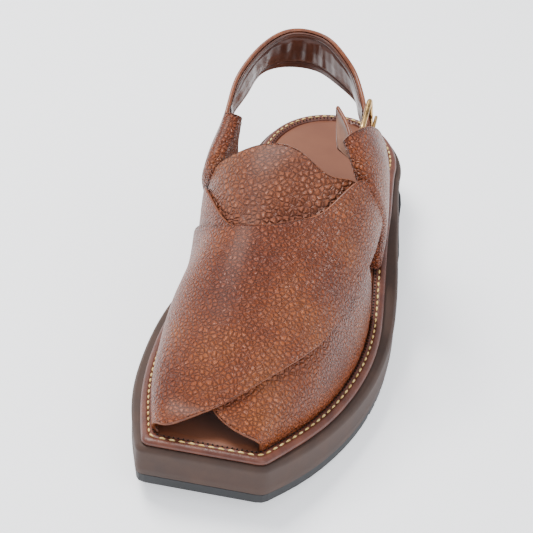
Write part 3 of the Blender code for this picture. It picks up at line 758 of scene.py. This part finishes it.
@dataclass
class Sole:
    """Outsole, heel, midsole, stitched rim and insole.

    Profiles hold the inset and the height of each level: from the outsole's top
    for the midsole, and from the midsole's top for the rim and the insole.
    """

    last: Last
    looks: Finishes
    columns: int = 17
    rows: int = 150
    corner: float = 0.0034
    heel_share: float = 0.010
    heel_taper: float = 0.0008
    stitch_inset: float = 0.0035
    stitch_pitch: float = 0.0042
    stitch_thick: float = 0.0009
    crimp_inset: float = 0.0053
    crimp_pitch: float = 0.0021
    crimp_thick: float = 0.0008
    crown: float = 0.0006
    seam_step: float = 0.001
    midsole_profile: Grid = table(
        (0.0008, 0.0), (0.0, 0.0006), (0.0001, 0.0040), (0.0002, 0.0126), (0.0, 0.0140),
        (0.0006, 0.0149), (0.0012, 0.0158), (0.0018, 0.0162))
    rim_profile: Grid = table(
        (0.0062, 0.0), (0.0010, 0.0), (0.0003, 0.0005), (0.0, 0.0012), (0.0001, 0.0020), (0.0006, 0.0027),
        (0.0013, 0.0032), (0.0022, 0.0035), (0.0029, 0.00345), (0.0033, 0.0031), (0.0037, 0.0031),
        (0.0041, 0.0034), (0.0050, 0.0035), (0.0058, 0.0032), (0.0062, 0.0022))
    insole_profile: Grid = table(
        (0.0063, 0.0003), (0.0063, 0.0016), (0.0066, 0.0024), (0.0074, 0.0028), (0.0090, 0.0029))

    def ladder(self, path: Grid) -> Grid:
        """Plan grid inside an edge, its toe corners rounded as quadratic curves.

        Args:
            path: edge from the lateral to the medial toe corner.

        Returns:
            Rows from the toe to the heel, columns from medial to lateral.
        """
        way = walked(path)
        total = way[-1]
        columns = np.linspace(0.0, 1.0, self.columns)[:, None]
        lateral, medial = path[0], path[-1]
        front = unit(lateral - medial)
        sides = np.linspace(self.corner, total * (0.5 - self.heel_share), self.rows)
        east, west = read_path(path, way, sides), read_path(path, way, total - sides)
        rows = []
        for t in (0.0, 0.25, 0.5, 0.75):
            left, right = [(1 - t)**2 * (tip + toward * self.corner) + 2 * t * (1 - t) * tip + t * t * near
                           for tip, toward, near in ((medial, front, west[0]), (lateral, -front, east[0]))]
            rows.append(left + (right - left) * columns)
        rows += [w + (e - w) * columns for w, e in zip(west, east)]
        rows.append(read_path(path, way, total * (0.5 + self.heel_share * (1 - 2 * columns[:, 0]))))
        return np.array(rows)

    def level(self, layer: Layer, inset: float, height: float, taper: float = 0.0) -> tuple[Grid, Grid]:
        """One level of a layer.

        Args:
            layer: its outline.
            inset: distance inwards.
            height: height over the sole's underside.
            taper: further inset at the heel.

        Returns:
            The level's grid and its border.
        """
        grid = self.ladder(self.last.plan(layer, inset, taper))
        points = np.dstack((grid, self.last.underside(grid[..., 1]) + height))
        return points, points.reshape(-1, 3)[border_loop(*points.shape[:2])]

    def slab(self, name: str, layer: Layer, profile: Grid, base: float, material: bpy.types.Material,
             taper: float = 0.0, crown: float = 0.0) -> bpy.types.Object:
        """Closed layer: borders along a profile, closed by the first and last grids.

        Args:
            name: the piece's name.
            layer: its outline.
            profile: inset and height of each level, bottom first.
            base: height that the profile starts from.
            material: its material.
            taper: further inset of the top at the heel.
            crown: height c of the top's middle over its edge, as c (1 - x^6).

        Returns:
            The piece.
        """
        points, faces, start, before = [], [], 0, None
        top = len(profile) - 1
        for number, (inset, height) in enumerate(profile):
            grid, rim = self.level(layer, inset, base + height, taper if number == top else 0.0)
            rows, columns = grid.shape[:2]
            border = np.arange(len(rim)) + start
            if number in (0, top):
                border = border_loop(rows, columns) + start
                cap = quads(rows, columns) + start
                faces.append(cap[:, ::-1] if number else cap)
                grid[..., 2] += (crown if number else 0.0) * (1 - np.abs(np.linspace(-1, 1, columns))**6)
                rim = grid.reshape(-1, 3)
            points.append(rim)
            if before is not None:
                faces.append(bridge(before, border))
            before = border
            start += len(rim)
        stacked = np.vstack(points)
        return mesh_object(name, stacked, outwards(stacked, np.vstack(faces)), (material,))

    def seam(self, base: float, inset: float, height: float) -> Grid:
        """Closed run of even points on the rim at an inset."""
        return resample(self.level(Layer.RIM, inset, base + height)[1], self.seam_step, closed=True)

    def build(self) -> list[bpy.types.Object]:
        """Build and dress the layers of the sole.

        Returns:
            The new pieces.
        """
        for node in ("outsole", "heel_block"):
            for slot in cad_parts[node].material_slots:
                slot.material = self.looks.rubber
        low, high = self.last.outsole, self.last.outsole + self.last.midsole
        midsole = self.slab("midsole_foam", Layer.OUTER, self.midsole_profile, low, self.looks.foam,
                            taper=self.heel_taper)
        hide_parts("midsole")
        levels = self.rim_profile + (0.0, high)
        loops = np.array([self.level(Layer.RIM, inset, height)[1] for inset, height in levels])
        faces = quads(*loops.shape[:2], close_rows=True, close_columns=True)
        rim = mesh_object("rim_wrap", loops, outwards(loops, faces), (self.looks.rim,))
        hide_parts("rim")
        thread = stitches("rim_stitches", self.seam(high, self.stitch_inset, 0.00335), self.stitch_pitch,
                          self.stitch_thick, self.looks.thread, 0.68)
        crimps = stitches("rim_crimps", self.seam(high, self.crimp_inset, 0.0034), self.crimp_pitch,
                          self.crimp_thick, self.looks.hole, 0.5)
        insole = self.slab("insole_sock", Layer.RIM, self.insole_profile, high, self.looks.sock,
                           crown=self.crown)
        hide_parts("insole")
        return [midsole, rim, thread, crimps, insole]


@dataclass
class CrossedUpper:
    """Two crossed panels over a scalloped tongue.

    Each row of a panel holds a place across, then its front and rear edge there
    as shares of the sole's length.
    """

    last: Last
    looks: Finishes
    panel_thick: float = 0.0014
    over_lift: float = 0.0021
    sway_height: float = 0.00025
    burnish_start: float = 0.004
    burnish_reach: float = 0.010
    burnish_most: float = 0.85
    over_rows: Grid = table(
        (0.00, -0.460, -0.055), (0.12, -0.459, -0.085), (0.24, -0.473, -0.125), (0.37, -0.460, -0.166),
        (0.46, -0.438, -0.171), (0.53, -0.419, -0.163), (0.60, -0.392, -0.138), (0.66, -0.355, -0.105),
        (0.72, -0.300, -0.040), (0.78, -0.232, -0.028), (0.83, -0.145, -0.018), (0.86, -0.050, -0.010))
    under_rows: Grid = table(
        (0.14, -0.062, -0.016), (0.20, -0.130, -0.042), (0.25, -0.195, -0.078), (0.30, -0.270, -0.116),
        (0.36, -0.345, -0.150), (0.43, -0.400, -0.172), (0.50, -0.429, -0.172), (0.64, -0.453, -0.140),
        (0.76, -0.457, -0.100), (0.90, -0.451, -0.075), (1.00, -0.450, -0.060))
    tongue_rows: Grid = table(
        (0.20, -0.200, -0.035), (0.28, -0.220, -0.040), (0.36, -0.235, -0.044), (0.42, -0.235, -0.038),
        (0.48, -0.235, -0.034), (0.53, -0.235, -0.039), (0.59, -0.235, -0.054), (0.65, -0.225, -0.060),
        (0.70, -0.200, -0.046), (0.74, -0.180, -0.034))

    def sway(self, across: Grid, along: Grid) -> Grid:
        """Soft unevenness of worn leather: a product of two sine waves."""
        return self.sway_height * np.sin(9 * across + 60 * along) * np.sin(14 * across - 45 * along)

    def over(self, across: Grid, along: Grid) -> Grid:
        """Lift of the top panel: over the other one, and down to the last at its foot."""
        return self.over_lift * smooth_step(across / 0.12) + self.sway(across, along)

    def under(self, across: Grid, along: Grid) -> Grid:
        """Lift of the lower panel: it lies on the last."""
        return self.sway(across, along) * 0.5

    def beneath(self, across: Grid, along: Grid) -> Grid:
        """Lift of the tongue: under both panels."""
        return np.full_like(across, -self.over_lift)

    def patch(self, rows: Grid, lift: Callable[[Grid, Grid], Grid],
              shape: tuple[int, int]) -> tuple[Grid, Grid]:
        """Inner face of a panel and its outward normals.

        Args:
            rows: place across, front edge and rear edge of each row.
            lift: height over the last from the places across and along.
            shape: number of grid rows and columns.

        Returns:
            Points and unit normals.
        """
        across = np.linspace(rows[0, 0], rows[-1, 0], shape[0])
        edges = spline(rows[:, 0], rows[:, 1:], across)
        share = np.linspace(0.0, 1.0, shape[1])
        along = (edges[:, :1] + (edges[:, 1:] - edges[:, :1]) * share) * self.last.sole_length
        across = np.repeat(across[:, None], shape[1], 1)
        grid = self.last.skin(across, along, lift(across, along))
        out = normals(grid)
        return grid, out if out[shape[0] // 2, shape[1] // 2, 2] > 0 else -out

    def build(self) -> list[bpy.types.Object]:
        """Build and dress the upper and the tongue.

        Returns:
            The new pieces.
        """
        pieces = []
        for name, rows, lift, shape, node, skin in (
                ("over_panel", self.over_rows, self.over, (150, 96), "upper", self.looks.grain),
                ("under_panel", self.under_rows, self.under, (150, 96), "upper", self.looks.grain),
                ("tongue_leather", self.tongue_rows, self.beneath, (110, 60), "tongue", self.looks.tongue)):
            grid, out = self.patch(rows, lift, shape)
            raised = grid + out * (self.last.leather - self.panel_thick)
            piece = cushion_sheet(name, raised, out, self.panel_thick, skin, self.looks.edge)
            top = self.last.midsole_top(grid[..., 1]) + self.burnish_start + self.burnish_reach
            near = smooth_step((top - grid[..., 2]) / self.burnish_reach)
            shade(piece, "burnish", self.burnish_most * near)
            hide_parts(node)
            pieces.append(piece)
        return pieces


@dataclass
class Quarters:
    """Folded side quarters, the heel strap, its lining and the flap.

    Rows on the last hold the place across and along of a front edge, then those
    of a rear edge. Rows in the air hold X, Y and Z of both edges as shares.
    Those of the padding hold a place across the strap and a thickness in mm,
    those of the lifts a row's place and a height, and those of the turned half
    a row's place and the share of the band's width that it reaches.
    """

    last: Last
    looks: Finishes
    steps: int = 14
    pad_rows: Grid = table(
        (0, 0.2), (0.04, 1.3), (0.08, 1.6), (0.115, 1.3), (0.13, 0.6), (0.20, 1.7), (0.45, 2.3),
        (0.70, 1.9), (0.78, 1.2), (0.80, 0.6), (0.84, 1.2), (0.94, 1.2), (1.0, 0.4))
    band_columns: int = 30
    half_columns: int = 26
    fold_columns: int = 15
    nested: float = 0.0004
    lining_span: tuple[float, float] = (4.6, 14.2)
    lining_fade: tuple[float, float] = (0.8, 1.2)
    heel_place: float = 8.6
    gather_spread: float = 1.7
    gather_height: float = 0.00045
    least_pad: float = 0.0002
    flap_thick: float = 0.0018
    flap_bulge: float = 0.0015
    flap_columns: tuple[int, int, int] = (22, 8, 18)
    inner_lifts: Grid = table((0, -0.0024), (2, -0.0024), (3, -0.0035), (4, -0.0045))
    flap_lifts: Grid = table((3, -0.0040), (4, -0.0050))
    turned_reach: Grid = table((0, 1.0), (3.4, 1.0), (4.1, 0.85), (4.5, 0.60))
    medial_rows: Grid = table(
        (0.009, 0.050, 0.009, 0.135), (0.080, 0.025, 0.060, 0.115), (0.150, 0.000, 0.110, 0.098),
        (0.250, -0.026, 0.150, 0.100), (0.285, 0.030, 0.190, 0.128))
    lateral_rows: Grid = table(
        (0.991, 0.055, 0.991, 0.225), (0.930, 0.035, 0.945, 0.212), (0.860, 0.005, 0.895, 0.200),
        (0.760, -0.022, 0.845, 0.185), (0.660, 0.022, 0.770, 0.155))
    lateral_inner: Grid = table(
        (0.991, 0.055, 0.991, 0.225), (0.930, 0.035, 0.945, 0.205), (0.860, 0.005, 0.880, 0.170),
        (0.760, -0.022, 0.800, 0.058), (0.670, 0.022, 0.690, 0.047))
    strap_rows: Grid = table(
        (-0.336, 0.098, 1.000, -0.378, 0.172, 0.800), (-0.327, 0.141, 1.056, -0.352, 0.208, 0.845),
        (-0.282, 0.195, 1.110, -0.323, 0.243, 0.897), (-0.191, 0.244, 1.148, -0.223, 0.272, 0.921),
        (-0.073, 0.259, 1.140, -0.082, 0.279, 0.921), (0.014, 0.248, 1.116, 0.018, 0.271, 0.893),
        (0.088, 0.232, 1.064, 0.116, 0.263, 0.840), (0.141, 0.213, 1.020, 0.175, 0.250, 0.794),
        (0.193, 0.174, 0.984, 0.214, 0.200, 0.790), (0.219, 0.146, 0.975, 0.225, 0.162, 0.819),
        (0.284, 0.079, 0.945, 0.289, 0.094, 0.785))
    flap_rows: Grid = table(
        (0.160, 0.080, 0.840), (0.145, 0.099, 0.885), (0.131, 0.120, 0.944), (0.131, 0.114, 1.005))

    def held(self, rows: Grid, places: Grid, share: Grid, lift: Grid) -> Grid:
        """Part of a quarter on the last.

        Args:
            rows: across and along of the front and rear edges.
            places: row numbers, any step.
            share: 0 at the front edge, 1 at the rear one.
            lift: height over the last.

        Returns:
            Points, one row for each place.
        """
        edge = spline(np.arange(len(rows)), rows, places)
        across = edge[:, :1] + (edge[:, 2:3] - edge[:, :1]) * share
        along = (edge[:, 1:2] + (edge[:, 3:4] - edge[:, 1:2]) * share) * self.last.sole_length
        return self.last.skin(across, along, lift)

    def band(self, lift: float, shares: Grid) -> tuple[Grid, Grid]:
        """Medial quarter's outer half, which runs on as the heel strap.

        Args:
            lift: height over the last.
            shares: places from the front or top edge to the rear or lower one.

        Returns:
            Points of the band and each row's place.
        """
        count = len(self.medial_rows)
        total = count + len(self.strap_rows) - 1
        places = np.linspace(0.0, total, total * self.steps + 1)
        grid = self.held(self.medial_rows, np.clip(places, 0, count - 1), shares, np.full((1, 1), lift))
        start, end = (self.strap_rows[:, None, part] * self.last.size for part in (slice(0, 3), slice(3, 6)))
        free = start + (end - start) * shares[:, None]
        nodes = np.vstack((grid[:count * self.steps:self.steps], free)).reshape(total + 1, -1)
        smooth = spline(np.arange(total + 1), nodes, places).reshape(grid.shape)
        held_end, blend_rows = count - 2.5, 1.5
        blend = smooth_step((places - held_end) / blend_rows)[:, None, None]
        return grid * (1 - blend) + smooth * blend, places

    def folded_quarter(self) -> bpy.types.Object:
        """Lateral quarter, folded at its front edge.

        The cross-section runs over the outer half, round a half circle in front
        of the edge, whose diameter is the lift between the halves, and back
        behind the edge as the inner half.

        Returns:
            The piece.
        """
        leather = self.last.leather
        lift = 3 * leather - self.nested
        top = len(self.lateral_rows) - 1
        places = np.linspace(0.0, top, top * self.steps + 1)
        low = np.interp(places, *self.inner_lifts.T)[:, None]
        level = np.full((1, 1), lift)
        front = self.held(self.lateral_rows, places, np.zeros((1, 1)), level)
        ahead = unit(front - self.held(self.lateral_rows, places, np.full((1, 1), 0.04), level))
        turn = np.linspace(0, math.pi, self.fold_columns)[None, 1:-1]
        middle, half = (lift + low) / 2, (lift - low) / 2
        bend = self.held(self.lateral_rows, places, np.zeros_like(turn), middle + half * np.cos(turn))
        bend = bend + ahead * (half * np.sin(turn))[..., None]
        back = np.linspace(0.0, 1.0, self.half_columns)[None]
        outer = self.held(self.lateral_rows, places, back[:, ::-1], np.full_like(back, lift))
        inner = self.held(self.lateral_inner, places, back, low + 0 * back)
        grid = np.concatenate((outer, bend, inner), 1)
        out = normals(grid)
        out = -out if out[len(out) // 2, 2, 0] < 0 else out
        return cushion_sheet("lateral_quarter", grid - out * leather, out, leather, self.looks.grain,
                             self.looks.edge)

    def turned_edge(self, grid: Grid, out: Grid, places: Grid) -> bpy.types.Object:
        """Medial quarter's front fold and the half that it turns inside.

        The half circle has its centre on the front edge: P + n (m + h cos a) + f h sin a.

        Args:
            grid: inner face of the strap's leather.
            out: its outward normals.
            places: row places of the grid.

        Returns:
            The piece.
        """
        kept = places < self.turned_reach[-1, 0]
        face, ways, where = grid[kept], out[kept], places[kept]
        ahead = unit(face[:, 0] - face[:, 2])[:, None]
        top, low, thick, sink = 0.0006, -0.0056, 0.0016, 0.0002
        turn = np.linspace(0, math.pi, self.fold_columns)[None, :-1, None]
        middle, half = (top + low) / 2, (top - low) / 2
        bend = face[:, :1] + ways[:, :1] * (middle + half * np.cos(turn)) + ahead * half * np.sin(turn)
        reach = np.interp(where, *self.turned_reach.T)[:, None]
        shares = reach * np.linspace(0, 1, self.half_columns)[None]
        back = read_rows(face, shares) + read_rows(ways, shares) * low
        folded = np.concatenate((bend, back), 1)
        around = normals(folded)
        around = -around if (around[:, 0] * ways[:, 0]).sum() < 0 else around
        return cushion_sheet("medial_fold", folded - around * sink, around, thick, self.looks.grain,
                             self.looks.edge)

    def lining(self, grid: Grid, out: Grid, places: Grid) -> bpy.types.Object:
        """Padded lining inside the heel strap, with a bead, a hem and gathers.

        Args:
            grid: inner face of the strap's leather.
            out: its outward normals.
            places: row places of the grid.

        Returns:
            The piece.
        """
        (start, end), (start_fade, end_fade) = self.lining_span, self.lining_fade
        kept = (places > start) & (places < end)
        fine = np.linspace(0.03, 0.97, 60)
        where = places[kept][:, None]
        shares = np.broadcast_to(fine, (len(where), len(fine)))
        face, ways = read_rows(grid[kept], shares), read_rows(out[kept], shares)
        pad = np.interp(fine, *self.pad_rows.T) * MM
        ends = smooth_step((where - start) / start_fade) * smooth_step((end - where) / end_fade)
        inside = smooth_step((fine - 0.14) / 0.1) * smooth_step((0.78 - fine) / 0.1)
        waves = np.sin(where * 7.3 + 2.1 * fine) + 0.5 * np.sin(where * 16.1 - fine)
        behind = np.exp(-((where - self.heel_place) / self.gather_spread)**2)
        gathers = self.gather_height * behind * inside * waves
        depth = np.maximum(pad * (0.25 + 0.75 * ends) + gathers, self.least_pad)
        return cushion_sheet("strap_lining", face - ways * 0.0001, -ways, depth, self.looks.lining,
                             self.looks.lining)

    def flap(self) -> bpy.types.Object:
        """Suede flap behind the buckle, from the inner half's edge to its cut tip.

        Returns:
            The piece.
        """
        count, held, free = self.flap_columns
        places = np.linspace(*self.flap_lifts[:, 0], count)
        low = np.interp(places, *self.flap_lifts.T)[:, None] + np.zeros((1, held))
        base = self.held(self.lateral_inner, places, np.linspace(0.5, 1.0, held)[None], low)
        tips = spline(np.linspace(0, 1, 4), self.flap_rows * self.last.size, np.linspace(0, 1, count))
        share = np.linspace(0, 1, free + 1)[1:, None]
        body = base[:, -1:] + (tips[:, None] - base[:, -1:]) * share
        body = body + np.array((self.flap_bulge, 0.0, 0.0)) * np.sin(math.pi * share)
        grid = np.concatenate((base, body), 1)
        for _ in range(6):
            grid[:, 1:-1] = (grid[:, :-2] + 2 * grid[:, 1:-1] + grid[:, 2:]) / 4
        return cushion_sheet("buckle_flap", grid, normals(grid), self.flap_thick, self.looks.suede,
                             self.looks.edge)

    def build(self) -> list[bpy.types.Object]:
        """Build and dress the quarters, the heel strap and the flap.

        Returns:
            The new pieces.
        """
        leather = self.last.leather
        grid, places = self.band(leather + self.last.gap, np.linspace(0, 1, self.band_columns))
        out = normals(grid)
        strap = cushion_sheet("heel_strap", grid, out, leather, self.looks.grain, self.looks.edge)
        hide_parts("back_strap")
        lining = self.lining(grid, out, places)
        medial = self.turned_edge(grid, out, places)
        lateral = self.folded_quarter()
        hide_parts("buckle_strap")
        pieces = [strap, lining, medial, lateral, self.flap()]
        return pieces


@dataclass
class Buckle:
    """Brass frame and prong, placed as shares of the last's sizes."""

    last: Last
    looks: Finishes
    centre: tuple[float, float, float] = (0.261, 0.1156, 0.890)
    back_way: tuple[float, float, float] = (-0.04, 0.97, 0.24)
    up_way: tuple[float, float, float] = (-0.05, -0.24, 0.97)
    length: float = 0.0215
    width: float = 0.0250
    rod: float = 0.0013
    corner: float = 0.0025
    prong: float = 0.0011
    tip_share: float = 0.72
    overhang: float = 0.0015
    shank: float = 0.005
    step: float = 0.0006

    def build(self) -> list[bpy.types.Object]:
        """Build and dress the frame and the prong.

        Returns:
            The new pieces.
        """
        centre = np.array(self.centre) * self.last.size
        back = unit(np.array(self.back_way))
        up = np.array(self.up_way)
        up = unit(up - back * (up @ back))
        out = np.cross(back, up)
        half_long, half_tall = self.length / 2, self.width / 2
        points = []
        for east, north, begin in ((1, 1, 0), (-1, 1, 90), (-1, -1, 180), (1, -1, 270)):
            for angle in np.radians(begin + np.arange(0, 91, 10)):
                a = east * (half_long - self.corner) + self.corner * math.cos(angle)
                b = north * (half_tall - self.corner) + self.corner * math.sin(angle)
                points.append(centre + back * a + up * b)
        path = resample(np.array(points), self.step, closed=True)
        ring = tube("brass_frame", path, self.rod, self.looks.brass, closed=True)
        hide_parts("buckle_frame")
        reach = self.rod + self.last.gap + self.prong
        hinge = centre - back * half_long
        turn = np.radians(np.linspace(240, 90, 24))
        hook = [hinge + reach * (math.cos(a) * back + math.sin(a) * out) for a in turn]
        shank = hinge + back * self.shank + out * reach
        tip = centre + back * (half_long + self.overhang) + out * reach
        line = resample(np.array(hook + [shank, centre + out * reach, tip]), self.step)
        radius = self.prong * np.interp(np.linspace(0, 1, len(line)), (0.3, 1), (1.0, self.tip_share))
        pin = tube("brass_prong", line, radius, self.looks.brass)
        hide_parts("buckle_prong")
        return [ring, pin]


@dataclass
class Studio:
    """Pale floor, soft light and the photograph's camera."""

    spot: tuple[float, float, float] = (0.11504, -0.52920, 0.43402)
    yaw: float = 0.33451
    pitch: float = 0.61860
    focal_px: float = 1198.64
    aim_px: tuple[float, float] = (367.0, 296.0)
    zoom: float = 1.134
    frame_px: float = 533.0
    sensor_mm: float = 36.0
    floor_half: float = 4.0
    floor_glow: float = 0.80
    sky_strength: float = 0.90
    aim: tuple[float, float, float] = (0.0, 0.0, 0.05)

    def camera(self) -> None:
        """Camera at the photograph's place, turned and zoomed onto the one shoe."""
        cy, sy, cp, sp = math.cos(self.yaw), math.sin(self.yaw), math.cos(self.pitch), math.sin(self.pitch)
        ahead = Vector((-sy * cp, cy * cp, -sp))
        right = Vector((cy, sy, 0.0))
        up = right.cross(ahead)
        half = self.frame_px / 2
        aside, above = self.aim_px[0] - half, half - self.aim_px[1]
        aim = ahead + (right * aside + up * above) / self.focal_px
        turn = ahead.rotation_difference(aim.normalized())
        basis = Matrix((right, up, -ahead)).transposed()
        data = bpy.data.cameras.new("photo_camera")
        data.sensor_width = self.sensor_mm
        data.lens = self.focal_px * self.zoom / self.frame_px * self.sensor_mm
        made = bpy.data.objects.new("photo_camera", data)
        bpy.context.collection.objects.link(made)
        made.matrix_world = Matrix.Translation(Vector(np.array(self.spot) - CENTRE)) @ (
            turn.to_matrix() @ basis).to_4x4()
        bpy.context.scene.camera = made

    def light(self, name: str, place: tuple[float, float, float], size: float, power: float,
              colour: tuple[float, float, float]) -> None:
        """Square soft light that faces the shoe.

        Args:
            name: the light's name.
            place: where it hangs, in metres.
            size: side of its square.
            power: watts.
            colour: linear colour.
        """
        data = bpy.data.lights.new(name, "AREA")
        data.size, data.energy, data.color = size, power, colour
        made = bpy.data.objects.new(name, data)
        bpy.context.collection.objects.link(made)
        turn = (Vector(self.aim) - Vector(place)).to_track_quat("-Z", "Y").to_matrix().to_4x4()
        made.matrix_world = Matrix.Translation(place) @ turn

    def build(self) -> None:
        """Set the floor, the lights, the sky and the camera."""
        side = np.linspace(-self.floor_half, self.floor_half, 9)
        x, y = np.meshgrid(side, side, indexing="ij")
        # Matt studio paper, lit through from below a little, so that it stays near white
        paper = Plain("matt studio paper", "f4f5f7", "f7f8fa", 0.9, 2.0, 0.01, 900.0).build()
        glow = paper.node_tree.nodes["Principled BSDF"]
        glow.inputs["Emission Color"].default_value = linear("f4f6fa")
        glow.inputs["Emission Strength"].default_value = self.floor_glow
        floor = mesh_object("studio_floor", np.stack((x, y, np.zeros_like(x)), -1) + CENTRE,
                            quads(*x.shape), (paper,))
        sky = bpy.data.worlds.new("studio_sky")
        sky.use_nodes = True
        dome = sky.node_tree.nodes["Background"]
        dome.inputs["Color"].default_value = (0.93, 0.95, 1.0, 1.0)
        dome.inputs["Strength"].default_value = self.sky_strength
        bpy.context.scene.world = sky
        self.light("key_light", (-0.55, 0.20, 1.2), 0.6, 24.0, (1.0, 0.98, 0.95))
        self.light("fill_light", (0.9, -0.7, 0.9), 0.9, 8.0, (0.95, 0.97, 1.0))
        self.camera()


def main() -> None:
    """Build each part of the shoe in order and note what was made."""
    logging.basicConfig(level=logging.INFO, format="%(message)s")
    last, looks = Last(), Finishes()
    for group in (Sole(last, looks), CrossedUpper(last, looks), Quarters(last, looks), Buckle(last, looks)):
        for piece in group.build():
            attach(piece, "root")
            LOG.info("%s: %s, %d faces", type(group).__name__, piece.name, len(piece.data.polygons))
    Studio().build()


if __name__ == "__main__":
    main()
